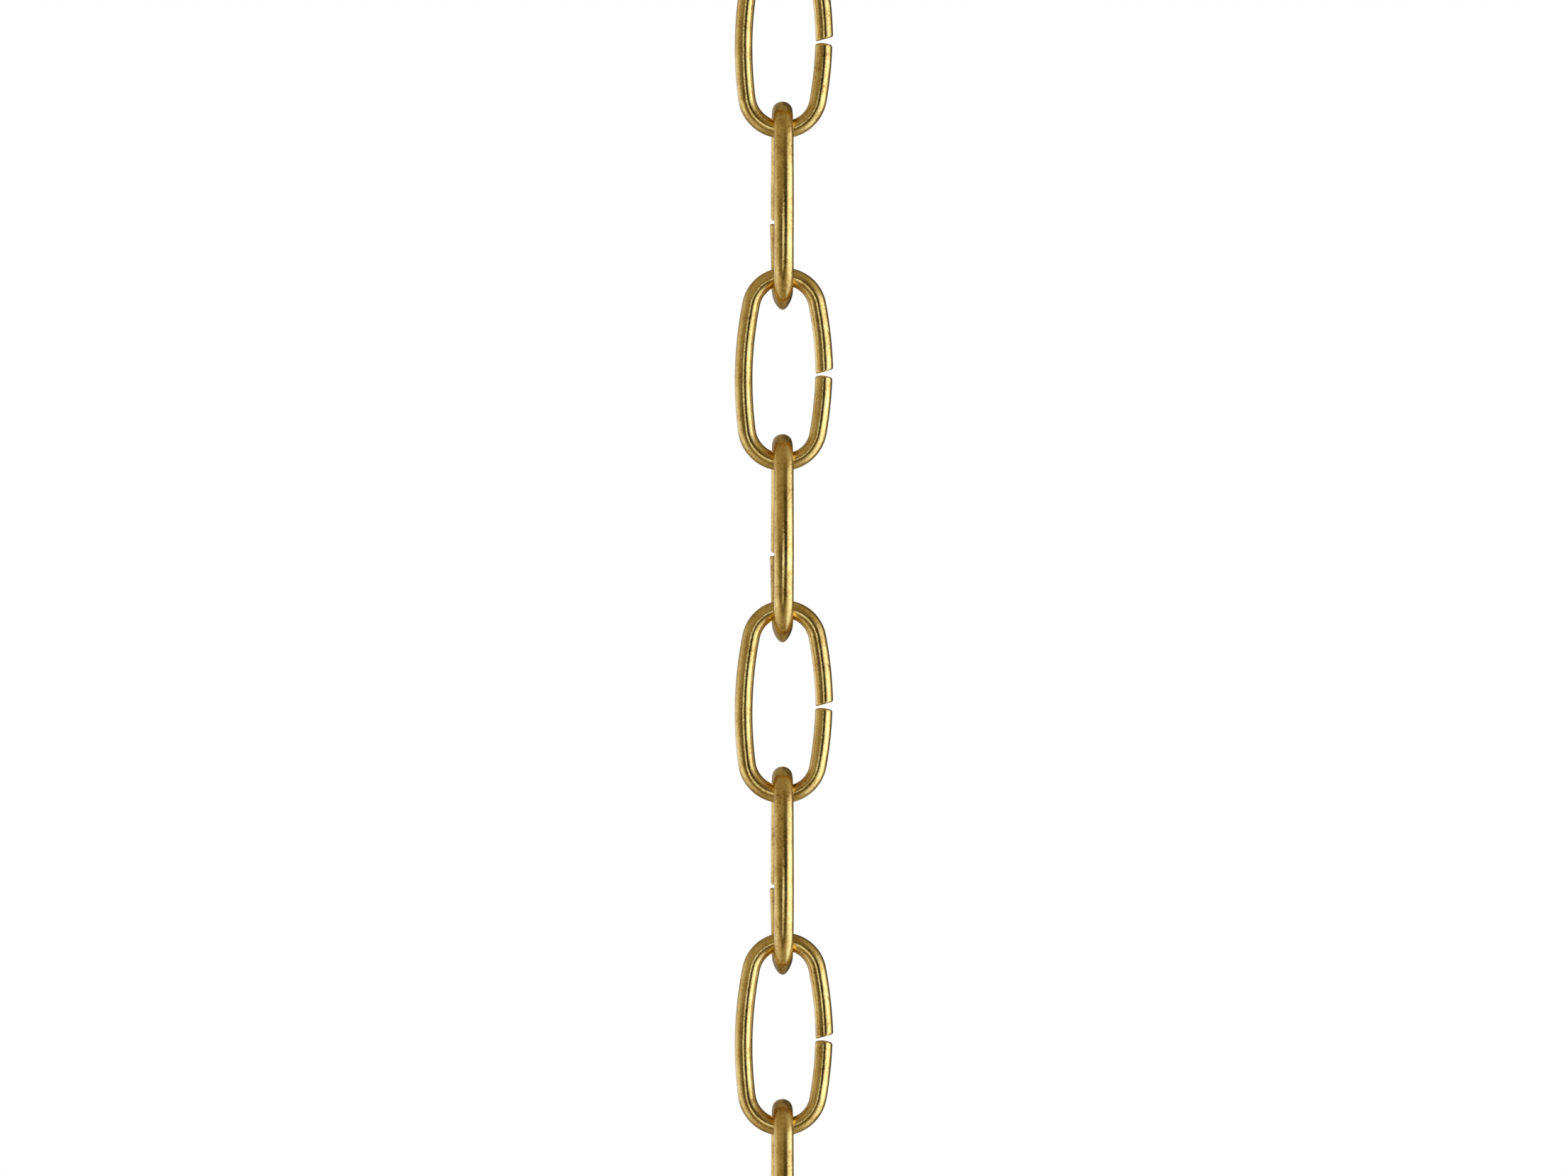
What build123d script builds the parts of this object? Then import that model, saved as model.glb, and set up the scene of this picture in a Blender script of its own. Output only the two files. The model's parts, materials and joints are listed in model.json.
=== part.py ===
"""Pocket watch chain: T-bar, jump ring, eight open wire links, jump ring and swivel clasp.

The chain hangs straight down from the T-bar. Millimetres, +Z up, +X along the T-bar.
The origin is the middle of the T-bar. Odd links lie in the XZ plane and even links
stand across them, each hooked through the one above.
"""
import os
from math import asin, atan2, cos, degrees, hypot, radians, sin, tan

from build123d import *

# --- chain links: one length of oval wire, bent into a slim loop and left with an open joint
LINK_COUNT = 8
WIRE_WIDTH = 1.44            # in the plane of the link
WIRE_DEPTH = 1.60            # across the plane of the link
TOP_BEND_R = 2.74            # radii are to the middle of the wire
BOTTOM_BEND_R = 2.93
LEG_R = 32.0                 # the legs bow outwards a little
TOP_BEND_START = 11.0        # degrees above level where the cut leg meets the top bend
TOP_BEND_SWEEP = 157.7
LEG_SWEEP = 18.6
BOTTOM_BEND_SWEEP = 162.7
TOP_BEND_X = 0.05            # the top bend sits slightly towards the cut leg
ODD_CUT_DROP = 0.37          # height of the joint below the link's middle
EVEN_CUT_DROP = 1.10
CUT_GAP = 0.14               # opening of the joint at its inner side
CUT_SLOPE = 15.0             # the upper end is snipped at this angle
CUT_EDGE_R = 0.16            # the tumbled edge of each wire end
EVEN_LINK_TURN = 92.4        # even links are turned a little past a right angle
EVEN_LINK_SHIFT = -0.10      # and hang slightly to the left

# --- running gap between one wire and the next
HINGE_GAP = 0.12

# --- T-bar
BAR_D = 2.4
BAR_LENGTH = 28.0
BAR_END_R = 1.05
BAR_SEAT_D = 2.8             # the thicker middle of the rod, inside the collar
COLLAR_D = 3.6
COLLAR_LENGTH = 4.0
COLLAR_EDGE_R = 0.5
SEAT_GAP = 0.02              # between pieces that are fixed together
EYE_WIRE_D = 1.4
EYE_R = 2.3
BAR_EYE_Z = -4.5             # centre of the T-bar's eye

# --- jump rings
RING_WIRE_D = 1.3
RING_R = 3.1
RING_OPENING = 4.0           # degrees left open at the joint of a jump ring

# --- swivel
STEM_D = 1.6
STEM_LENGTH = 3.3            # from the middle of the eye's wire down to the washer
SHOULDER_D = 2.2             # disc under the eye that the wire is soldered to
SHOULDER_TOP_DROP = 0.35
SHOULDER_H = 0.5
WASHER_D = 2.9
WASHER_H = 0.4
HEAD_D = 2.3
HEAD_H = 0.6
STEM_END_D = 1.1             # spigot that carries the washer
SWIVEL_CLEARANCE = 0.06      # radial, round the stem
SHOULDER_TO_BARREL = 0.1

# --- clasp
BARREL_D = 5.0
BARREL_H = 5.2
BARREL_TOP_H = 1.4
BARREL_BORE_D = 3.6
BARREL_EDGE_R = 0.5
BEAD_D = 5.6                 # raised ring round the foot of the barrel
BEAD_H = 0.9
BEAD_EDGE_R = 0.2
PLUG_H = 1.6                 # the hook's spigot inside the barrel
NECK_WIDTH = 4.6             # the block under the barrel that holds the lever
NECK_DEPTH = 3.4
NECK_H = 3.4
NECK_CORNER_R = 1.2
HOOK_WIRE_D = 1.8
HOOK_R = 4.0                 # bottom bend of the hook
HOOK_DROP = 8.2              # from the barrel's foot to the centre of that bend
SHANK_X = -1.2               # where the hook's wire leaves the neck
SLOT_WIDTH = 1.3
SLOT_X = -0.35               # inner wall of the lever's slot
SLOT_TOP_DROP = 0.5
PIVOT_X = 1.25
PIVOT_DROP = 1.75
RIVET_D = 1.0
RIVET_CLEARANCE = 0.05
RIVET_HEAD_D = 1.5
RIVET_HEAD_H = 0.25
LEVER_THICKNESS = 1.1
LEVER_WIDTH = 1.35
LEVER_HUB_R = 1.1
NOSE_DROP = 7.1              # height of the joint between lever and hook
NOSE_GAP = 0.10
THUMB_R = 0.75               # the rounded nub that the thumb presses
THUMB_REACH = 2.9            # from the pivot
SPRING_T = 0.18
SPRING_WIDTH = 0.9
SPRING_LENGTH = 2.6

# --- heights down the chain, from the T-bar to the clasp
eye_bottom_z = BAR_EYE_Z - EYE_R
top_ring_z = eye_bottom_z + (EYE_WIRE_D + RING_WIRE_D) / 2 + HINGE_GAP - RING_R
first_link_z = top_ring_z - RING_R + (RING_WIRE_D + WIRE_WIDTH) / 2 + HINGE_GAP


def circle_point(centre, radius, angle):
    """Point on a circle, with the angle in degrees."""
    return (centre[0] + radius * cos(radians(angle)), centre[1] + radius * sin(radians(angle)))


# the lowest wire of a link, from the same chain of tangent arcs that draws it
top_centre = (TOP_BEND_X, -TOP_BEND_R)
upper_leg_centre = circle_point(top_centre, TOP_BEND_R - LEG_R, TOP_BEND_START)
left_leg_start = TOP_BEND_START + TOP_BEND_SWEEP
left_leg_centre = circle_point(top_centre, TOP_BEND_R - LEG_R, left_leg_start)
bottom_bend_start = left_leg_start + LEG_SWEEP
bottom_centre = circle_point(left_leg_centre, LEG_R - BOTTOM_BEND_R, bottom_bend_start)
lower_leg_start = bottom_bend_start + BOTTOM_BEND_SWEEP - 360
lower_leg_centre = circle_point(bottom_centre, BOTTOM_BEND_R - LEG_R, lower_leg_start)
LINK_DROP = -(bottom_centre[1] - BOTTOM_BEND_R)      # top wire to bottom wire
LINK_PITCH = LINK_DROP - WIRE_WIDTH - HINGE_GAP

link_tops = [first_link_z - LINK_PITCH * i for i in range(LINK_COUNT)]
lower_ring_z = link_tops[-1] - LINK_DROP + (WIRE_WIDTH + RING_WIRE_D) / 2 + HINGE_GAP - RING_R
swivel_eye_z = lower_ring_z - RING_R + (RING_WIRE_D + EYE_WIRE_D) / 2 + HINGE_GAP - EYE_R
stem_top_z = swivel_eye_z - EYE_R
barrel_top_z = stem_top_z - SHOULDER_TOP_DROP - SHOULDER_H - SHOULDER_TO_BARREL
barrel_foot_z = barrel_top_z - BARREL_H
hook_bend_z = barrel_foot_z - HOOK_DROP
pivot_z = barrel_foot_z - PIVOT_DROP
nose_z = barrel_foot_z - NOSE_DROP
nose_reach = hypot(HOOK_R - PIVOT_X, nose_z - pivot_z)

os.makedirs("parts", exist_ok=True)

# --- T-bar: the rod goes through a buttonhole
with BuildPart() as bar_rod:
    with BuildSketch(Plane.YZ.offset(-BAR_LENGTH / 2)):
        Circle(BAR_D / 2)
    extrude(amount=BAR_LENGTH)
    fillet(bar_rod.edges().filter_by(GeomType.CIRCLE), BAR_END_R)
    with BuildSketch(Plane.YZ.offset(-COLLAR_LENGTH / 2)):
        Circle(BAR_SEAT_D / 2)
    extrude(amount=COLLAR_LENGTH)
bar_rod.part.label = "t_bar_rod"
export_step(bar_rod.part, "parts/t_bar_rod.step")

with BuildPart() as bar_collar:
    with BuildSketch(Plane.YZ.offset(-COLLAR_LENGTH / 2)):
        Circle(COLLAR_D / 2)
    extrude(amount=COLLAR_LENGTH)
    fillet(bar_collar.edges().filter_by(GeomType.CIRCLE), COLLAR_EDGE_R)
    with BuildSketch(Plane.YZ.offset(-COLLAR_LENGTH)):
        Circle(BAR_SEAT_D / 2 + SEAT_GAP)
    extrude(amount=2 * COLLAR_LENGTH, mode=Mode.SUBTRACT)
bar_collar.part.label = "t_bar_collar"
export_step(bar_collar.part, "parts/t_bar_collar.step")

with BuildPart() as bar_eye:
    with BuildSketch(Plane.XY.move(Location((EYE_R, 0, BAR_EYE_Z)))):
        Circle(EYE_WIRE_D / 2)
    revolve(axis=Axis((0, 0, BAR_EYE_Z), (0, 1, 0)))
    with BuildSketch(Plane.YZ.offset(-COLLAR_LENGTH)):
        Circle(COLLAR_D / 2 + SEAT_GAP)
    extrude(amount=2 * COLLAR_LENGTH, mode=Mode.SUBTRACT)
bar_eye.part.label = "t_bar_eye"
export_step(bar_eye.part, "parts/t_bar_eye.step")

# --- jump rings: the upper one stands across the T-bar's eye, the lower one across the last link
with BuildPart() as top_ring:
    with BuildSketch(Plane.XY.move(Location((0, RING_R, top_ring_z)))):
        Circle(RING_WIRE_D / 2)
    revolve(axis=Axis((0, 0, top_ring_z), (1, 0, 0)), revolution_arc=360 - RING_OPENING)
top_ring.part.label = "top_ring"
export_step(top_ring.part, "parts/top_ring.step")

with BuildPart() as lower_ring:
    with BuildSketch(Plane.XY.move(Location((RING_R, 0, lower_ring_z)))):
        Circle(RING_WIRE_D / 2)
    revolve(axis=Axis((0, 0, lower_ring_z), (0, -1, 0)), revolution_arc=360 - RING_OPENING)
lower_ring.part.label = "lower_ring"
export_step(lower_ring.part, "parts/lower_ring.step")

# --- the links
for number, link_top in enumerate(link_tops, start=1):
    is_even = number % 2 == 0
    cut_z = -LINK_DROP / 2 - (EVEN_CUT_DROP if is_even else ODD_CUT_DROP)
    upper_end_z = cut_z - WIRE_WIDTH / 2 * sin(radians(CUT_SLOPE))
    lower_end_z = upper_end_z - CUT_GAP
    upper_end_angle = degrees(asin((upper_end_z - upper_leg_centre[1]) / LEG_R))
    lower_end_angle = degrees(asin((lower_end_z - lower_leg_centre[1]) / LEG_R))
    upper_end = circle_point(upper_leg_centre, LEG_R, upper_end_angle)
    upper_direction = (-sin(radians(upper_end_angle)), cos(radians(upper_end_angle)))
    snip_low = upper_end_z - CUT_GAP / 2
    snip_reach = 0.6 * WIRE_WIDTH
    snip_rise = 2 * snip_reach * tan(radians(CUT_SLOPE))
    with BuildPart() as link:
        with BuildLine(Plane.XZ) as wire_path:
            upper_leg = JernArc(upper_end, upper_direction, LEG_R, TOP_BEND_START - upper_end_angle)
            top_bend = JernArc(upper_leg @ 1, upper_leg % 1, TOP_BEND_R, TOP_BEND_SWEEP)
            left_leg = JernArc(top_bend @ 1, top_bend % 1, LEG_R, LEG_SWEEP)
            bottom_bend = JernArc(left_leg @ 1, left_leg % 1, BOTTOM_BEND_R, BOTTOM_BEND_SWEEP)
            JernArc(bottom_bend @ 1, bottom_bend % 1, LEG_R, lower_end_angle - lower_leg_start)
        with BuildSketch(Plane(origin=wire_path.line @ 0, x_dir=(0, 1, 0), z_dir=wire_path.line % 0)):
            Ellipse(WIRE_DEPTH / 2, WIRE_WIDTH / 2)
        sweep()
        with BuildSketch(Plane.XZ):
            with BuildLine():
                Polyline(
                    (upper_end[0] - snip_reach, snip_low),
                    (upper_end[0] + snip_reach, snip_low),
                    (upper_end[0] + snip_reach, upper_end_z + snip_rise),
                    (upper_end[0] - snip_reach, upper_end_z),
                    close=True,
                )
            make_face()
        extrude(amount=WIRE_DEPTH, both=True, mode=Mode.SUBTRACT)
        fillet(link.faces().filter_by(GeomType.PLANE).edges(), CUT_EDGE_R)
    turn = EVEN_LINK_TURN if is_even else 0
    shift = EVEN_LINK_SHIFT if is_even else 0
    placed = Location((shift, 0, link_top), (0, 0, turn)) * link.part
    placed.label = f"link_{number}"
    export_step(placed, f"parts/link_{number}.step")

# --- swivel: an eye whose stem turns in the barrel, held by a riveted washer
with BuildPart() as swivel_eye:
    shoulder_top = stem_top_z - SHOULDER_TOP_DROP
    shoulder_foot = shoulder_top - SHOULDER_H
    stem_foot = stem_top_z - STEM_LENGTH
    head_top = stem_foot - WASHER_H - 2 * SEAT_GAP
    with BuildSketch(Plane.XZ):
        with BuildLine():
            Polyline(
                (0, shoulder_top),
                (SHOULDER_D / 2, shoulder_top),
                (SHOULDER_D / 2, shoulder_foot),
                (STEM_D / 2, shoulder_foot),
                (STEM_D / 2, stem_foot),
                (STEM_END_D / 2, stem_foot),
                (STEM_END_D / 2, head_top),
                (HEAD_D / 2, head_top),
                (HEAD_D / 2, head_top - HEAD_H),
                (0, head_top - HEAD_H),
                close=True,
            )
        make_face()
    revolve(axis=Axis.Z)
    with Locations(Location((0, 0, swivel_eye_z), (0, 90, 0))):
        Torus(EYE_R, EYE_WIRE_D / 2)
swivel_eye.part.label = "swivel_eye"
export_step(swivel_eye.part, "parts/swivel_eye.step")

with BuildPart() as swivel_washer:
    with BuildSketch(Plane.XY.offset(stem_top_z - STEM_LENGTH - SEAT_GAP)):
        Circle(WASHER_D / 2)
        Circle(STEM_END_D / 2 + SEAT_GAP, mode=Mode.SUBTRACT)
    extrude(amount=-WASHER_H)
swivel_washer.part.label = "swivel_washer"
export_step(swivel_washer.part, "parts/swivel_washer.step")

# --- clasp: barrel, hook, lever, rivet and spring
with BuildPart() as clasp_barrel:
    with BuildSketch(Plane.XY.offset(barrel_foot_z)):
        Circle(BARREL_D / 2)
    extrude(amount=BARREL_H)
    fillet(clasp_barrel.faces().sort_by(Axis.Z)[-1].edges(), BARREL_EDGE_R)
    with BuildSketch(Plane.XY.offset(barrel_foot_z)):
        Circle(BEAD_D / 2)
    extrude(amount=BEAD_H)
    bead_edges = clasp_barrel.edges().filter_by(GeomType.CIRCLE)
    fillet(bead_edges.filter_by(lambda edge: abs(edge.radius - BEAD_D / 2) < SEAT_GAP), BEAD_EDGE_R)
    with BuildSketch(Plane.XY.offset(barrel_foot_z)):
        Circle(BARREL_BORE_D / 2)
    extrude(amount=BARREL_H - BARREL_TOP_H, mode=Mode.SUBTRACT)
    with BuildSketch(Plane.XY.offset(barrel_foot_z)):
        Circle(STEM_D / 2 + SWIVEL_CLEARANCE)
    extrude(amount=2 * BARREL_H, mode=Mode.SUBTRACT)
clasp_barrel.part.label = "clasp_barrel"
export_step(clasp_barrel.part, "parts/clasp_barrel.step")

with BuildPart() as clasp_hook:
    with BuildLine(Plane.XZ) as hook_path:
        Spline(
            (SHANK_X, barrel_foot_z - NECK_H / 2),
            (-HOOK_R, hook_bend_z),
            tangents=[(-0.45, -1), (0, -1)],
        )
        JernArc((-HOOK_R, hook_bend_z), (0, -1), HOOK_R, 180)
        Line((HOOK_R, hook_bend_z), (HOOK_R, nose_z + HOOK_WIRE_D))
    with BuildSketch(Plane(origin=hook_path.line @ 0, x_dir=(0, 1, 0), z_dir=hook_path.line % 0)):
        Circle(HOOK_WIRE_D / 2)
    sweep()
    with BuildSketch(Plane.XZ):
        with Locations((PIVOT_X, pivot_z)):
            Circle(nose_reach)
        with Locations((HOOK_R, nose_z)):
            Rectangle(2 * HOOK_WIRE_D, 4 * HOOK_WIRE_D, mode=Mode.INTERSECT)
    extrude(amount=HOOK_WIRE_D, both=True, mode=Mode.SUBTRACT)
    with BuildSketch(Plane.XY.offset(barrel_foot_z - SEAT_GAP)):
        RectangleRounded(NECK_WIDTH, NECK_DEPTH, NECK_CORNER_R)
    extrude(amount=-NECK_H)
    with BuildSketch(Plane.XY.offset(barrel_foot_z - 2 * SEAT_GAP)):
        Circle(BARREL_BORE_D / 2 - SEAT_GAP)
    extrude(amount=PLUG_H)
    with BuildSketch(Plane.XY.offset(barrel_foot_z - SLOT_TOP_DROP)):
        with Locations((SLOT_X, 0)):
            Rectangle(NECK_WIDTH, SLOT_WIDTH, align=(Align.MIN, Align.CENTER))
    extrude(amount=-NECK_H, mode=Mode.SUBTRACT)
    with BuildSketch(Plane.XZ):
        with Locations((PIVOT_X, pivot_z)):
            Circle(RIVET_D / 2 + SEAT_GAP)
    extrude(amount=NECK_WIDTH, both=True, mode=Mode.SUBTRACT)
clasp_hook.part.label = "clasp_hook"
export_step(clasp_hook.part, "parts/clasp_hook.step")

with BuildPart() as clasp_lever:
    lever_along = (HOOK_R - PIVOT_X, nose_z - pivot_z)
    lever_angle = degrees(atan2(lever_along[1], lever_along[0]))
    with BuildSketch(Plane.XZ):
        with Locations((PIVOT_X, pivot_z)):
            with Locations(Location((0, 0), lever_angle)):
                Rectangle(nose_reach + LEVER_WIDTH, LEVER_WIDTH, align=(Align.MIN, Align.CENTER))
            Circle(LEVER_HUB_R)
            with Locations(Location((0, 0), lever_angle)):
                with Locations((THUMB_REACH, LEVER_WIDTH / 2)):
                    Circle(THUMB_R)
            Circle(nose_reach - NOSE_GAP, mode=Mode.INTERSECT)
            Circle(RIVET_D / 2 + RIVET_CLEARANCE, mode=Mode.SUBTRACT)
    extrude(amount=LEVER_THICKNESS / 2, both=True)
clasp_lever.part.label = "clasp_lever"
export_step(clasp_lever.part, "parts/clasp_lever.step")

with BuildPart() as clasp_rivet:
    rivet_head_y = NECK_DEPTH / 2 + SEAT_GAP
    with BuildSketch(Plane.XZ):
        with Locations((PIVOT_X, pivot_z)):
            Circle(RIVET_D / 2)
    extrude(amount=rivet_head_y, both=True)
    with BuildSketch(Plane.XZ.offset(rivet_head_y), Plane.XZ.offset(-rivet_head_y - RIVET_HEAD_H)):
        with Locations((PIVOT_X, pivot_z)):
            Circle(RIVET_HEAD_D / 2)
    extrude(amount=RIVET_HEAD_H)
clasp_rivet.part.label = "clasp_rivet"
export_step(clasp_rivet.part, "parts/clasp_rivet.step")

with BuildPart() as clasp_spring:
    with BuildSketch(Plane.XY.offset(barrel_foot_z - SLOT_TOP_DROP - SEAT_GAP)):
        with Locations((SLOT_X + SEAT_GAP, 0)):
            Rectangle(SPRING_T, SPRING_WIDTH, align=(Align.MIN, Align.CENTER))
    extrude(amount=-SPRING_LENGTH)
clasp_spring.part.label = "clasp_spring"
export_step(clasp_spring.part, "parts/clasp_spring.step")
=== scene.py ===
import json
import math
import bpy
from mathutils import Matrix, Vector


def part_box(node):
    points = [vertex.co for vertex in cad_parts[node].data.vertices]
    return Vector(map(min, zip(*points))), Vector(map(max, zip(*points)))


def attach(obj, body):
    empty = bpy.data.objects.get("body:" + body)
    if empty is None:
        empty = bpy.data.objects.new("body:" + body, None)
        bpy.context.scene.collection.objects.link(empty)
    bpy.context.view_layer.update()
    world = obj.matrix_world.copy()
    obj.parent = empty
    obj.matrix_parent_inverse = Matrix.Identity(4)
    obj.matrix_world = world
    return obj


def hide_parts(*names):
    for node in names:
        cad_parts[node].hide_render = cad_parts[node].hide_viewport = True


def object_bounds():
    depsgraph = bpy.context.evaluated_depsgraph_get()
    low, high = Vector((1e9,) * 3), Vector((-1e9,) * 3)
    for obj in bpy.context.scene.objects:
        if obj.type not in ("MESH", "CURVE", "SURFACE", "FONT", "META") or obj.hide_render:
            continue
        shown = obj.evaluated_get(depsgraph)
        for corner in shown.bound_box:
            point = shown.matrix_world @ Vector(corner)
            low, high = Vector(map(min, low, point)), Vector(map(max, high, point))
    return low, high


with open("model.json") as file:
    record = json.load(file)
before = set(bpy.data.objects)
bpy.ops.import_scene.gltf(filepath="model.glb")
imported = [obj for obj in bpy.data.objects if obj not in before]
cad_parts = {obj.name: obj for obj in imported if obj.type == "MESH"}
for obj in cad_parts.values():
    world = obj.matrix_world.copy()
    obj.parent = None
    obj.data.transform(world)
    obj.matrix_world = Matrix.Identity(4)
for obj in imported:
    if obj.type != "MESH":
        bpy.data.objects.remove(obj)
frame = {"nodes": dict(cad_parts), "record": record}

from types import SimpleNamespace

import bmesh
import bpy
from mathutils import Matrix, Vector, noise

cad_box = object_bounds()
MM = 0.001

# --- link wire, in metres: an oval wire bent through tangent arcs, as in the CAD
LINK_COUNT = 8
HALF_WIDTH = 0.72 * MM            # in the plane of the link
HALF_DEPTH = 0.80 * MM            # across the plane of the link
TOP_BEND_R = 2.74 * MM
BOTTOM_BEND_R = 2.93 * MM
LEG_R = 32.0 * MM
TOP_BEND_START = 11.0             # degrees, as are the sweeps
TOP_BEND_SWEEP = 157.7
LEG_SWEEP = 18.6
BOTTOM_BEND_SWEEP = 162.7
TOP_BEND_X = 0.05 * MM
LOWEST = 270.0                    # direction of the link's lowest point, in degrees
ODD_CUT_DROP = 0.19 * MM          # how far below the link's middle its wire is cut
EVEN_CUT_DROP = 1.34 * MM
CUT_GAP = 0.14 * MM               # between the two ends of the wire
CUT_ANGLE = math.radians(15)
CUT_EDGE_R = 0.14 * MM
SLOPE_FADE = 1.1 * MM             # how far from the end the snipped slope is felt
LOWER_END_DOME = 0.13 * MM        # the lower end is rubbed round
LOWER_END_LEAN = 0.35             # more so on its outer side
LOWER_END_OFFSET = 0.10 * MM      # and it is sprung slightly out of the link's plane
LOWER_END_BEND = 5.0 * MM         # over this length
EVEN_LINK_TURN = math.radians(92.4)
EVEN_LINK_SHIFT = -0.10 * MM
NOSE = 0.42 * MM                  # even links are drawn out at their lowest point
NOSE_SPREAD = 65.0                # degrees either side of it
NOSE_TAPER = 0.28                 # how much narrower the wire is at the nose's ridge
THIN = 0.14                       # share of the wire's inner side that the bending pliers flattened
THIN_AT = 50.0                    # degrees from the lowest point towards the cut leg
THIN_SPREAD = 62.0

# --- mesh fineness
ALONG_STEP = 0.11 * MM
AROUND = 56
EDGE_RINGS = 5                    # in the rounded edge of a wire end
CAP_RINGS = (0.72, 0.45, 0.2)     # sizes of the rings on its flat face
END_MARGIN = 1.2 * CUT_EDGE_R     # the plain rings of the wire stop this far from an end

# --- hand-made unevenness
SWELL = 0.012 * MM
SWELL_SCALE = 260.0               # noise scales are per metre
DENT = 0.0012 * MM
DENT_SCALE = 1500.0
SEED_SPACING = 0.37               # metres of noise between one link and the next
NICK_TURN = 40.0                  # degrees round the wire from its outer side
NICK_HEIGHT = 3.0 * MM            # above the link's middle, on the cut leg
NICK_LENGTH = 0.34 * MM
NICK_WIDTH = 0.09 * MM
NICK_DEPTH = 0.035 * MM


def polar(centre, radius, angle):
    """Point of a circle in the link's plane, with the angle in degrees."""
    a = math.radians(angle)
    return Vector((centre[0] + radius * math.cos(a), centre[1] + radius * math.sin(a)))


def bump(away, spread):
    """1 at the middle, falling smoothly to 0 at the spread on either side."""
    return math.cos(math.pi / 2 * min(1.0, abs(away) / spread)) ** 2


def link_arcs(cut_drop):
    """The link's arcs from its upper wire end to its lower: (centre, radius, start angle, end angle)."""
    top = Vector((TOP_BEND_X, -TOP_BEND_R))
    upper_leg = polar(top, TOP_BEND_R - LEG_R, TOP_BEND_START)
    left_start = TOP_BEND_START + TOP_BEND_SWEEP
    left_leg = polar(top, TOP_BEND_R - LEG_R, left_start)
    bottom_start = left_start + LEG_SWEEP
    bottom = polar(left_leg, LEG_R - BOTTOM_BEND_R, bottom_start)
    lower_start = bottom_start + BOTTOM_BEND_SWEEP
    lower_leg = polar(bottom, BOTTOM_BEND_R - LEG_R, lower_start)
    drop = BOTTOM_BEND_R - bottom[1]
    upper_z = -drop / 2 - cut_drop - HALF_WIDTH * math.sin(CUT_ANGLE)
    lower_z = upper_z - CUT_GAP
    upper_start = math.degrees(math.asin((upper_z - upper_leg[1]) / LEG_R))
    lower_end = 360 + math.degrees(math.asin((lower_z - lower_leg[1]) / LEG_R))
    return [
        (upper_leg, LEG_R, upper_start, TOP_BEND_START),
        (top, TOP_BEND_R, TOP_BEND_START, left_start),
        (left_leg, LEG_R, left_start, bottom_start),
        (bottom, BOTTOM_BEND_R, bottom_start, lower_start),
        (lower_leg, LEG_R, lower_start, lower_end),
    ]


def path_samples(arcs, step):
    """Evenly spaced places along the arcs, with normals out of the link, and the length of the wire."""
    samples = []
    travelled = 0.0
    for centre, radius, start, end in arcs:
        length = radius * math.radians(end - start)
        count = max(2, round(length / step))
        for i in range(count + 1):
            if samples and i == 0:
                continue
            a = math.radians(start + (end - start) * i / count)
            normal = Vector((math.cos(a), 0, math.sin(a)))
            tangent = Vector((-math.sin(a), 0, math.cos(a)))
            from_lowest = math.degrees(a) - LOWEST
            samples.append(SimpleNamespace(
                point=Vector((centre[0], 0, centre[1])) + radius * normal,
                normal=normal,
                tangent=tangent,
                distance=travelled + length * i / count,
                nose=bump(from_lowest, NOSE_SPREAD),
                thin=THIN * bump(from_lowest - THIN_AT, THIN_SPREAD),
            ))
        travelled += length
    return samples, travelled


def uneven(point, seed):
    """Slight swelling and dents of a hand-bent, tumbled wire, as an offset along its surface normal."""
    p = point + Vector((0, 0, seed * SEED_SPACING))
    return SWELL * noise.noise(p * SWELL_SCALE) + DENT * noise.noise(p * DENT_SCALE)


def mesh_object(name, bm):
    """An object with the bmesh's faces turned outwards and smooth."""
    bmesh.ops.recalc_face_normals(bm, faces=bm.faces)
    mesh = bpy.data.meshes.new(name)
    bm.to_mesh(mesh)
    bm.free()
    for polygon in mesh.polygons:
        polygon.use_smooth = True
    obj = bpy.data.objects.new(name, mesh)
    bpy.context.collection.objects.link(obj)
    return obj


def bridge(bm, rings):
    """Quads between each ring of vertices and the next."""
    for a, b in zip(rings, rings[1:]):
        count = len(a)
        for i in range(count):
            j = (i + 1) % count
            bm.faces.new((a[i], a[j], b[j], b[i]))


def fan(bm, ring, centre):
    """Triangles from a ring to the vertex in its middle."""
    for i, v in enumerate(ring):
        bm.faces.new((v, ring[(i + 1) % len(ring)], centre))


def nick(point, turn, middle):
    """Depth of a short slanting nick on the front of the cut leg."""
    along = point.z - middle - NICK_HEIGHT
    round_wire = (math.degrees(turn) + NICK_TURN) % 360
    sideways = math.radians(min(round_wire, round_wire - 360, key=abs)) * HALF_WIDTH
    if point.x < 0 or abs(along) > MM or abs(sideways) > MM:
        return 0.0
    lengthwise = (sideways - along) / math.sqrt(2)
    crosswise = (sideways + along) / math.sqrt(2)
    return NICK_DEPTH * math.exp(-((lengthwise / NICK_LENGTH) ** 2) - (crosswise / NICK_WIDTH) ** 2)


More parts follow.
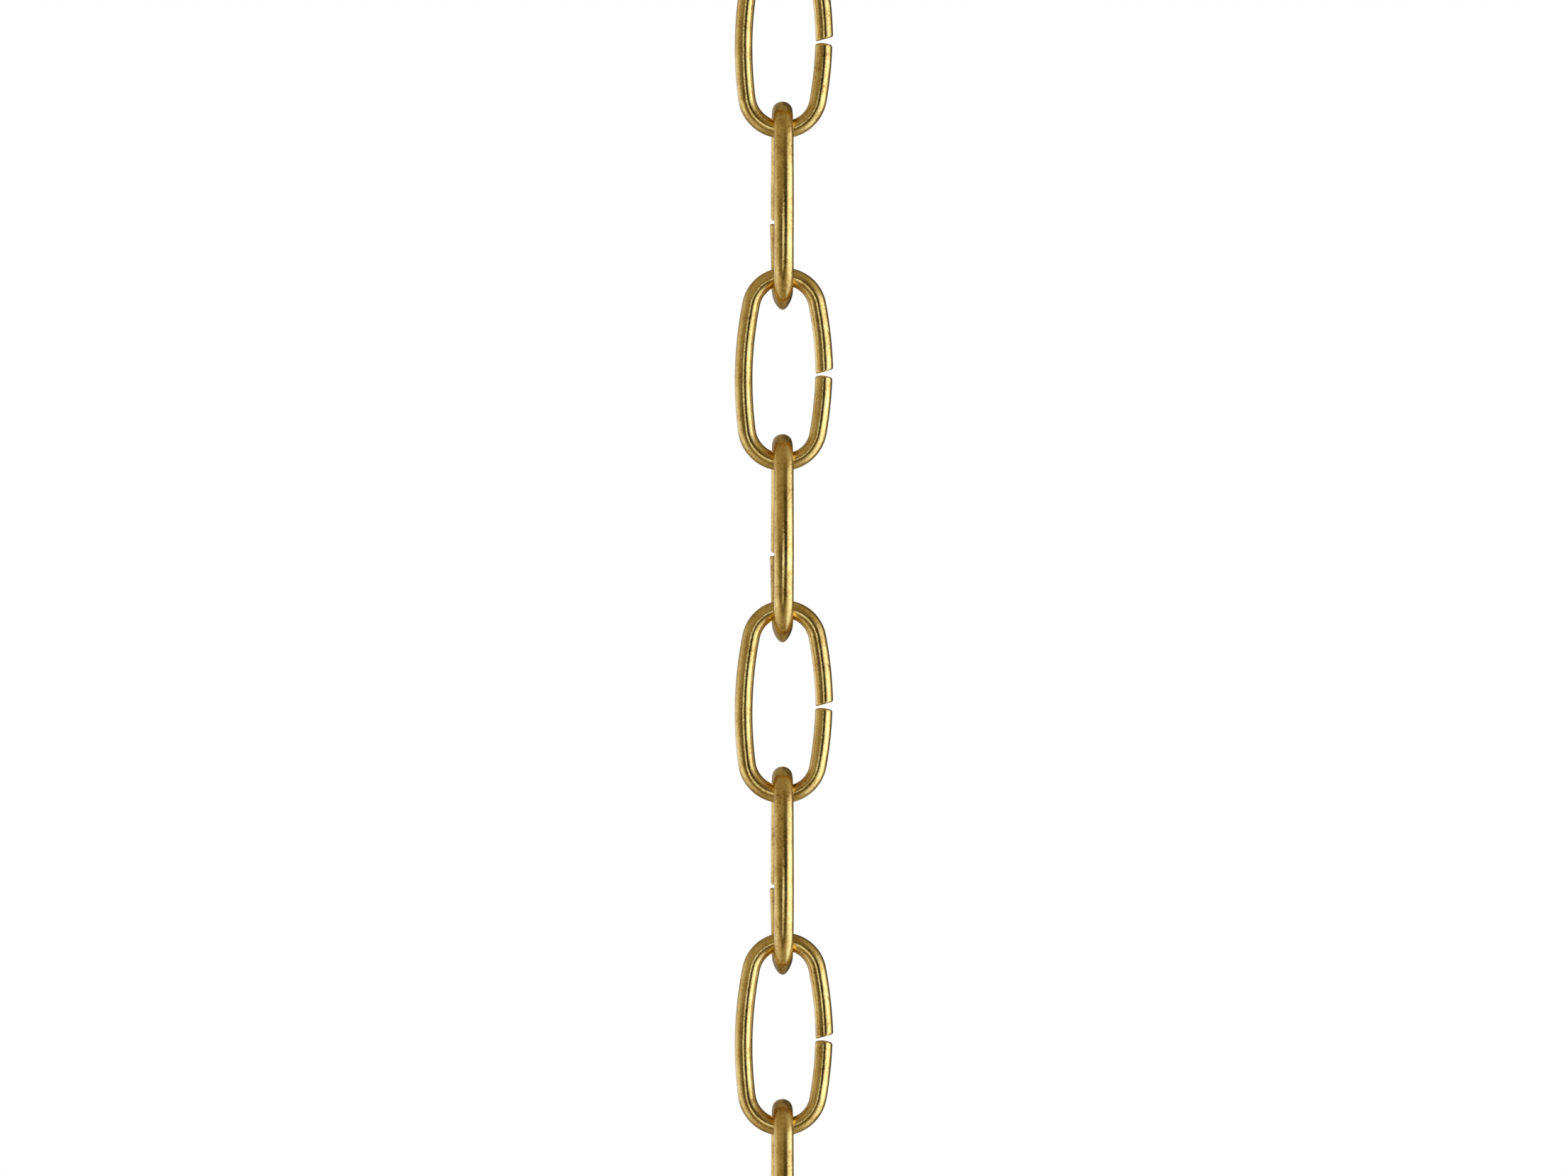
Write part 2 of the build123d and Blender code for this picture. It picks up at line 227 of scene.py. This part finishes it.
def link_mesh(name, cut_drop, pointed, place, seed):
    """One open link: a wire swept round the arcs, with a snipped upper end and a rubbed lower end."""
    samples, length = path_samples(link_arcs(cut_drop), ALONG_STEP)
    heights = [s.point.z for s in samples]
    middle = (min(heights) + max(heights)) / 2
    bm = bmesh.new()
    across = Vector((0, 1, 0))

    def vertex(sample, inset, ahead, scale, turn):
        """A vertex of the ring at the sample: inset from the wire's surface, moved ahead along the wire."""
        outer = max(0.0, math.cos(turn))
        inner = min(0.0, math.cos(turn))
        ridge = sample.nose * outer if pointed else 0.0
        outwards = (HALF_WIDTH - inset) * scale * (outer + (1 - sample.thin) * inner) + NOSE * ridge * scale
        sideways = (HALF_DEPTH - inset) * scale * math.sin(turn) * (1 - NOSE_TAPER * ridge)
        slope = math.tan(CUT_ANGLE) * (outwards + HALF_WIDTH) * max(0.0, 1 - sample.distance / SLOPE_FADE)
        left = length - sample.distance
        u = outwards / HALF_WIDTH
        dome = LOWER_END_DOME * (u * u + LOWER_END_LEAN * u) * max(0.0, 1 - left / SLOPE_FADE)
        spring = LOWER_END_OFFSET * max(0.0, 1 - left / LOWER_END_BEND) ** 2
        surface = sample.point + sample.normal * outwards + across * sideways
        moved = surface + sample.tangent * (ahead + slope - dome) + across * spring
        swell = uneven(place @ surface, seed) - nick(sample.point, turn, middle)
        return place @ (moved + (sample.normal * math.cos(turn) + across * math.sin(turn)) * swell)

    def ring(sample, inset=0.0, ahead=0.0, scale=1.0):
        turns = [2 * math.pi * i / AROUND for i in range(AROUND)]
        return [bm.verts.new(vertex(sample, inset, ahead, scale, t)) for t in turns]

    def end_rings(sample, sign):
        """Rings of a wire end, from its rounded edge to its middle."""
        rings = []
        for k in range(EDGE_RINGS + 1):
            a = math.pi / 2 * k / EDGE_RINGS
            ahead = sign * CUT_EDGE_R * (math.sin(a) - 1)
            rings.append(ring(sample, CUT_EDGE_R * (1 - math.cos(a)), ahead))
        for scale in CAP_RINGS:
            rings.append(ring(sample, CUT_EDGE_R, 0.0, scale))
        return rings

    first = end_rings(samples[0], -1)
    last = end_rings(samples[-1], 1)
    body = [ring(s) for s in samples if END_MARGIN < s.distance < length - END_MARGIN]
    rings = first[::-1] + body + last
    bridge(bm, rings)
    fan(bm, rings[0], bm.verts.new(vertex(samples[0], CUT_EDGE_R, 0.0, 0.0, 0.0)))
    fan(bm, rings[-1], bm.verts.new(vertex(samples[-1], CUT_EDGE_R, 0.0, 0.0, 0.0)))
    return mesh_object(name, bm)


# --- materials: scales are per metre
WORN_EDGE_R = 0.10 * MM
PATCH_SCALE = 520.0
GRAIN_SCALE = 5200.0
DENT_CELL_SCALE = 2400.0
GRAIN_CONTRAST = 1.3
GRAIN_HEIGHT = 0.018 * MM
DENT_CELL_HEIGHT = 0.013 * MM
GRAIN_BUMP = 0.5
DENT_CELL_BUMP = 0.4
PIT_LEVEL = 0.24                  # levels of the summed noises at which each tone is pure
LOW_LEVEL = 0.37
HIGH_LEVEL = 0.66
SMOOTH_LEVEL = 0.3                # and of the grain, at which the metal is smoothest and roughest
ROUGH_LEVEL = 0.7
COAT_WEIGHT = 0.12                # a thin film of tarnish
COAT_ROUGHNESS = 0.25
BEVEL_SAMPLES = 6
STEEL_COLOUR = (0.45, 0.46, 0.48, 1)
STEEL_GRAIN_SCALE = 6000.0
STEEL_ROUGHNESS = (0.25, 0.5)
CARD_DARK = (0.80, 0.80, 0.79, 1)
CARD_LIGHT = (0.84, 0.84, 0.83, 1)
CARD_GRAIN_SCALE = 90.0
CARD_ROUGHNESS = 0.9


def node(tree, kind, **values):
    """A shader node with its properties and inputs set."""
    n = tree.nodes.new(kind)
    for key, value in values.items():
        if key in n.inputs:
            n.inputs[key].default_value = value
        else:
            setattr(n, key, value)
    return n


def brass(name, low, high, roughness=(0.05, 0.13), grain=1.0, pits=(0.62, 0.52, 0.45)):
    """Tumbled raw brass: two tones in soft patches with darker pits, fine grain, faint dents, worn edges."""
    material = bpy.data.materials.new(name)
    material.use_nodes = True
    tree = material.node_tree
    link = tree.links.new
    shader = tree.nodes["Principled BSDF"]
    shader.inputs["Metallic"].default_value = 1.0
    shader.inputs["Coat Weight"].default_value = COAT_WEIGHT
    shader.inputs["Coat Roughness"].default_value = COAT_ROUGHNESS
    where = tree.nodes.new("ShaderNodeTexCoord")
    patches = node(tree, "ShaderNodeTexNoise", Scale=PATCH_SCALE, Detail=3.0, Roughness=0.6)
    mottle = node(tree, "ShaderNodeTexNoise", Scale=GRAIN_SCALE, Detail=4.0, Roughness=0.75)
    dents = node(tree, "ShaderNodeTexVoronoi", Scale=DENT_CELL_SCALE)
    for texture in (patches, mottle, dents):
        link(where.outputs["Object"], texture.inputs["Vector"])
    tone = tree.nodes.new("ShaderNodeValToRGB")
    tone.color_ramp.elements[0].position = PIT_LEVEL
    tone.color_ramp.elements[0].color = (*[p * c for p, c in zip(pits, low)], 1)
    tone.color_ramp.elements[1].position = HIGH_LEVEL
    tone.color_ramp.elements[1].color = (*high, 1)
    tone.color_ramp.elements.new(LOW_LEVEL).color = (*low, 1)
    grains = node(tree, "ShaderNodeMath", operation="MULTIPLY_ADD")
    link(mottle.outputs["Fac"], grains.inputs[0])
    grains.inputs[1].default_value = GRAIN_CONTRAST
    grains.inputs[2].default_value = -GRAIN_CONTRAST / 2
    both = node(tree, "ShaderNodeMath", operation="ADD")
    link(grains.outputs[0], both.inputs[0])
    link(patches.outputs["Fac"], both.inputs[1])
    link(both.outputs[0], tone.inputs["Fac"])
    link(tone.outputs["Color"], shader.inputs["Base Color"])
    rough = node(tree, "ShaderNodeMapRange")
    rough.inputs["From Min"].default_value = SMOOTH_LEVEL
    rough.inputs["From Max"].default_value = ROUGH_LEVEL
    rough.inputs["To Min"].default_value = roughness[0]
    rough.inputs["To Max"].default_value = roughness[1]
    link(mottle.outputs["Fac"], rough.inputs["Value"])
    link(rough.outputs["Result"], shader.inputs["Roughness"])
    rounded = node(tree, "ShaderNodeBevel", samples=BEVEL_SAMPLES, Radius=WORN_EDGE_R)
    fine = node(tree, "ShaderNodeBump", Strength=GRAIN_BUMP * grain, Distance=GRAIN_HEIGHT)
    link(rounded.outputs["Normal"], fine.inputs["Normal"])
    link(mottle.outputs["Fac"], fine.inputs["Height"])
    broad = node(tree, "ShaderNodeBump", Strength=DENT_CELL_BUMP * grain, Distance=DENT_CELL_HEIGHT)
    link(dents.outputs["Distance"], broad.inputs["Height"])
    link(fine.outputs["Normal"], broad.inputs["Normal"])
    link(broad.outputs["Normal"], shader.inputs["Normal"])
    return material


def steel(name):
    """Plain spring steel with a faint rolled grain."""
    material = bpy.data.materials.new(name)
    material.use_nodes = True
    tree = material.node_tree
    shader = tree.nodes["Principled BSDF"]
    shader.inputs["Metallic"].default_value = 1.0
    shader.inputs["Base Color"].default_value = STEEL_COLOUR
    where = tree.nodes.new("ShaderNodeTexCoord")
    grain = node(tree, "ShaderNodeTexNoise", Scale=STEEL_GRAIN_SCALE, Detail=3.0)
    tree.links.new(where.outputs["Object"], grain.inputs["Vector"])
    rough = node(tree, "ShaderNodeMapRange")
    rough.inputs["To Min"].default_value = STEEL_ROUGHNESS[0]
    rough.inputs["To Max"].default_value = STEEL_ROUGHNESS[1]
    tree.links.new(grain.outputs["Fac"], rough.inputs["Value"])
    tree.links.new(rough.outputs["Result"], shader.inputs["Roughness"])
    return material


def floor_material():
    """Pale matte card."""
    material = bpy.data.materials.new("floor_card")
    material.use_nodes = True
    tree = material.node_tree
    shader = tree.nodes["Principled BSDF"]
    shader.inputs["Roughness"].default_value = CARD_ROUGHNESS
    where = tree.nodes.new("ShaderNodeTexCoord")
    grain = node(tree, "ShaderNodeTexNoise", Scale=CARD_GRAIN_SCALE, Detail=4.0)
    tree.links.new(where.outputs["Object"], grain.inputs["Vector"])
    ramp = tree.nodes.new("ShaderNodeValToRGB")
    ramp.color_ramp.elements[0].color = CARD_DARK
    ramp.color_ramp.elements[1].color = CARD_LIGHT
    tree.links.new(grain.outputs["Fac"], ramp.inputs["Fac"])
    tree.links.new(ramp.outputs["Color"], shader.inputs["Base Color"])
    return material


link_brass = brass("link_brass", (0.72, 0.46, 0.102), (0.92, 0.66, 0.18))
raw_brass = brass("raw_brass", (0.72, 0.47, 0.115), (0.90, 0.64, 0.18), grain=0.6, pits=(0.85, 0.80, 0.74))
rivet_brass = brass(
    "rivet_brass",
    (0.76, 0.53, 0.17),
    (0.90, 0.66, 0.24),
    roughness=(0.18, 0.28),
    grain=0.5,
    pits=(0.9, 0.86, 0.8),
)
spring_steel = steel("spring_steel")
MATERIALS = {
    "link_brass": link_brass,
    "raw_brass": raw_brass,
    "rivet_brass": rivet_brass,
    "spring_steel": spring_steel,
}

# --- the links
for number in range(1, LINK_COUNT + 1):
    node_name = f"link_{number}"
    _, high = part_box(node_name)
    even = number % 2 == 0
    shift = EVEN_LINK_SHIFT if even else 0.0
    turn = EVEN_LINK_TURN if even else 0.0
    place = Matrix.Translation((shift, 0, high[2] - HALF_WIDTH)) @ Matrix.Rotation(turn, 4, "Z")
    drop = EVEN_CUT_DROP if even else ODD_CUT_DROP
    piece = link_mesh(f"wire_{node_name}", drop, even, place, number)
    piece.data.materials.append(link_brass)
    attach(piece, node_name)
    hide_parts(node_name)

# --- every other CAD node keeps its shape and takes its own metal
for part in frame["record"]["subparts"]:
    if part["node"].startswith("link_"):
        continue
    obj = frame["nodes"][part["node"]]
    obj.data.materials.clear()
    obj.data.materials.append(MATERIALS[part["material_slot"]])

# --- studio: the room that the brass mirrors, in bands of brightness
# elevation: (azimuth, brightness) pairs, in degrees, azimuth 0 behind the camera and positive to its right
STUDIO_BANDS = {
    68: ((-150, 0.30), (150, 0.30)),
    34: (
        (-150, 0.26), (-90, 0.34), (-50, 0.38), (0, 0.30), (30, 0.24), (60, 0.42), (90, 0.55), (110, 0.40),
        (130, 0.12),
    ),
    4: (
        (-150, 0.36), (-105, 0.70), (-85, 0.54), (-62, 0.38), (-44, 0.33), (-24, 0.30), (-8, 0.24),
        (2, 0.12), (14, 0.04), (32, 0.05), (43, 0.90), (60, 1.35), (92, 1.45), (108, 0.75),
        (125, 0.12), (160, 0.08),
    ),
    -2: (
        (-165, 0.25), (-146, 0.95), (-118, 0.92), (-85, 0.62), (-62, 0.28), (-44, 0.13), (-26, 0.05),
        (-15, 0.14), (-9, 1.40), (0, 1.50), (7, 0.20), (13, 0.02), (32, 0.02), (43, 1.20), (60, 1.75),
        (92, 1.75), (108, 0.80), (125, 0.12), (160, 0.08),
    ),
    -14: (
        (-150, 0.32), (-128, 0.60), (-90, 1.05), (-68, 0.80), (-48, 0.34), (-31, 0.12), (-14, 0.50),
        (-8, 0.85), (0, 0.25), (10, 0.05), (27, 0.20), (45, 1.00), (75, 1.50), (97, 1.30), (120, 0.35),
        (150, 0.10),
    ),
    -42: (
        (-150, 0.22), (-90, 0.65), (-60, 0.60), (-30, 0.24), (0, 0.12), (30, 0.35), (55, 0.9), (90, 1.2),
        (125, 0.35),
    ),
    -72: ((-150, 0.34), (150, 0.34)),
}
DIM = 0.2                         # brightness up to which the room is at its warmest
WARM_TO_COOL = 0.9                # further brightness over which it turns cool
WARM_GREEN = 0.83                 # as shares of red
WARM_BLUE = 0.50
COOLER_GREEN = 0.33               # what the coolest panels have on top of that
COOLER_BLUE = 1.35


def glow(level):
    """Dim parts of the room are warm, and bright panels are cool."""
    t = min(1.0, max(0.0, (level - DIM) / WARM_TO_COOL))
    return (level, level * (WARM_GREEN + COOLER_GREEN * t), level * (WARM_BLUE + COOLER_BLUE * t), 1)


def studio():
    """A plain white room. Only the metal mirrors its soft panels and the dark gaps between them."""
    world = bpy.data.worlds.new("studio")
    bpy.context.scene.world = world
    world.use_nodes = True
    tree = world.node_tree
    tree.nodes.clear()
    link = tree.links.new
    where = tree.nodes.new("ShaderNodeTexCoord")
    split = tree.nodes.new("ShaderNodeSeparateXYZ")
    link(where.outputs["Generated"], split.inputs[0])

    def math_node(operation, a, b=None):
        n = node(tree, "ShaderNodeMath", operation=operation)
        for i, value in enumerate((a, b)):
            if value is None:
                continue
            if isinstance(value, (int, float)):
                n.inputs[i].default_value = value
            else:
                link(value, n.inputs[i])
        return n.outputs[0]

    back = math_node("MULTIPLY", split.outputs["Y"], -1.0)
    azimuth = math_node("ARCTAN2", split.outputs["X"], back)
    turn = math_node("ADD", math_node("DIVIDE", azimuth, 2 * math.pi), 0.5)
    height = math_node("DIVIDE", math_node("ARCSINE", split.outputs["Z"]), math.radians(1))

    def band(stops):
        ramp = tree.nodes.new("ShaderNodeValToRGB")
        ramp.color_ramp.interpolation = "EASE"
        elements = ramp.color_ramp.elements
        while len(elements) < len(stops):
            elements.new(0.5)
        for element, (degrees, level) in zip(elements, stops):
            element.position = degrees / 360 + 0.5
            element.color = glow(level)
        link(turn, ramp.inputs["Fac"])
        return ramp.outputs["Color"]

    heights = sorted(STUDIO_BANDS)
    colour = band(STUDIO_BANDS[heights[0]])
    for low_edge, high_edge in zip(heights, heights[1:]):
        step = node(tree, "ShaderNodeMapRange", interpolation_type="SMOOTHSTEP")
        link(height, step.inputs["Value"])
        step.inputs["From Min"].default_value = low_edge
        step.inputs["From Max"].default_value = high_edge
        blend = node(tree, "ShaderNodeMix", data_type="RGBA")
        link(step.outputs["Result"], blend.inputs["Factor"])
        link(colour, blend.inputs["A"])
        link(band(STUDIO_BANDS[high_edge]), blend.inputs["B"])
        colour = blend.outputs["Result"]
    seen = node(tree, "ShaderNodeBackground", Strength=1.0)
    seen.inputs["Color"].default_value = (1, 1, 1, 1)
    lit = node(tree, "ShaderNodeBackground", Strength=1.0)
    link(colour, lit.inputs["Color"])
    path = tree.nodes.new("ShaderNodeLightPath")
    choose = tree.nodes.new("ShaderNodeMixShader")
    plain = math_node("MAXIMUM", path.outputs["Is Camera Ray"], path.outputs["Is Diffuse Ray"])
    link(plain, choose.inputs["Fac"])
    link(lit.outputs[0], choose.inputs[1])
    link(seen.outputs[0], choose.inputs[2])
    out = tree.nodes.new("ShaderNodeOutputWorld")
    link(choose.outputs[0], out.inputs["Surface"])


studio()

# --- floor below the clasp, which the brass does not mirror
FLOOR_DROP = 12 * MM
FLOOR_HALF = 1.5
bm = bmesh.new()
bmesh.ops.create_grid(bm, x_segments=8, y_segments=8, size=FLOOR_HALF)
floor = mesh_object("floor", bm)
floor.location = (0, 0, cad_box[0].z - FLOOR_DROP)
floor.data.materials.append(floor_material())
floor.visible_glossy = False

# --- soft key light from the right, above and in front, aimed at the middle of the chain
KEY_WATTS = 4.0
KEY_SIZE = 0.5
KEY_PLACE = Vector((0.5, -0.6, 0.5))
KEY_AIM = Vector((0, 0, -0.07))
key_data = bpy.data.lights.new("key", "AREA")
key_data.energy = KEY_WATTS
key_data.size = KEY_SIZE
key = bpy.data.objects.new("key", key_data)
key.location = KEY_PLACE
key.rotation_euler = (KEY_AIM - KEY_PLACE).to_track_quat("-Z", "Y").to_euler()
key.visible_glossy = False
bpy.context.collection.objects.link(key)

# --- camera: level, in front, with a long lens that takes in about nine and a half link pitches across
LENS_DISTANCE = 2.5
SENSOR_WIDTH = 36.0
FRAME_PITCHES = 9.433             # width of the view in link pitches
AIM_PITCHES = 1.3156              # centre of the view below the middle of link_3
AIM_RIGHT = 0.035 * MM
FAR_LIMIT = 20.0
third_low, third_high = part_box("link_3")
_, fifth_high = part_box("link_5")
pitch = (third_high[2] - fifth_high[2]) / 2
camera_data = bpy.data.cameras.new("camera")
camera_data.sensor_width = SENSOR_WIDTH
camera_data.lens = SENSOR_WIDTH * LENS_DISTANCE / (FRAME_PITCHES * pitch)
camera_data.clip_end = FAR_LIMIT
camera = bpy.data.objects.new("camera", camera_data)
camera.location = (AIM_RIGHT, -LENS_DISTANCE, (third_low[2] + third_high[2]) / 2 - AIM_PITCHES * pitch)
camera.rotation_euler = (math.pi / 2, 0, 0)
bpy.context.collection.objects.link(camera)
bpy.context.scene.camera = camera
bpy.context.scene.view_settings.view_transform = "Standard"
